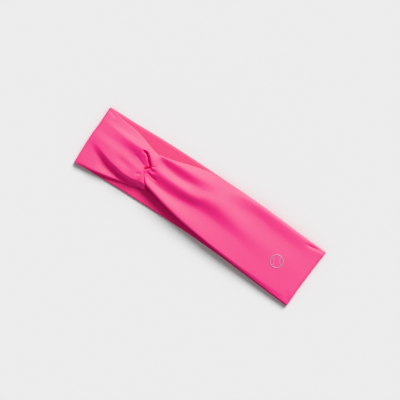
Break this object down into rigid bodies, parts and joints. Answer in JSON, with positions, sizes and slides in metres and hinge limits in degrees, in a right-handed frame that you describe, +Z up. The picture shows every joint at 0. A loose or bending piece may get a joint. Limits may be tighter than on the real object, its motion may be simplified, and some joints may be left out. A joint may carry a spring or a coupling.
{
  "type": "sports headband",
  "caption": "Flat-lying stretch sports headband: two soft fabric strips hooked through each other in a front knot and sewn into a loop at the back.",
  "frame": {"origin": "under the middle of the band, on the surface that it lies on", "axes": "+X along the band towards the printed mark, +Y across it, +Z up out of the flat band"},
  "size_m": [0.235, 0.0632, 0.0122],
  "materials": {
    "knit_outer": "smooth matte stretch knit, bright pink",
    "knit_inner": "wrong side of the same knit",
    "thread": "polyester thread, dyed to match",
    "print": "silver-grey heat transfer"
  },
  "bodies": {
    "root": {"left_outer_panel": "knit_outer", "right_outer_panel": "knit_outer", "left_inner_panel": "knit_inner", "right_inner_panel": "knit_inner", "left_edge_seams": "thread", "right_edge_seams": "thread", "back_seam": "thread", "left_tack": "thread", "right_tack": "thread", "ball_mark": "print"}
  },
  "joints": []
}
